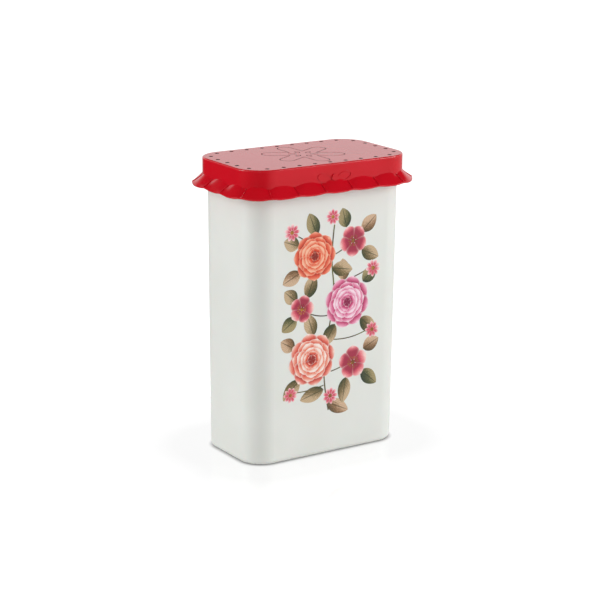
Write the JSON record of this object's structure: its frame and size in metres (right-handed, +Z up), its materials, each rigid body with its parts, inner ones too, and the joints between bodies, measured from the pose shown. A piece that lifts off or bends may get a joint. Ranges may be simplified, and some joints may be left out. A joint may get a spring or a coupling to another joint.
{
  "type": "storage jar",
  "caption": "Tall rectangular plastic kitchen storage jar with rounded corners, a printed flower spray on the front and a lift-off lid with an upright band and a fluted, flared skirt.",
  "frame": {"origin": "bottom centre: the middle of the foot, on the surface that the jar stands on", "axes": "+Z up along the jar's height; -Y out of the printed front wall; +X to the right seen from the front"},
  "size_m": [0.1696, 0.1062, 0.24],
  "materials": {
    "body_plastic": "off-white moulded plastic, semi-matte",
    "lid_plastic": "red moulded plastic, glossy",
    "ink_coral": "printed film, coral",
    "ink_pink": "printed film, deep pink",
    "ink_pale_pink": "printed film, pale pink",
    "ink_olive": "printed film, olive green",
    "ink_brown": "printed film, brown"
  },
  "bodies": {
    "jar": {"jar_body": "body_plastic", "print_full_blooms": "ink_coral", "print_open_blooms": "ink_pink", "print_daisies": "ink_pale_pink", "print_leaves": "ink_olive", "print_stems": "ink_brown"},
    "lid": {"lid": "lid_plastic"}
  },
  "joints": [
    {"name": "lid_lift", "type": "slide", "parent": "jar", "child": "lid", "axis": [0, 0, 1], "range_m": [0, 0.12]}
  ]
}
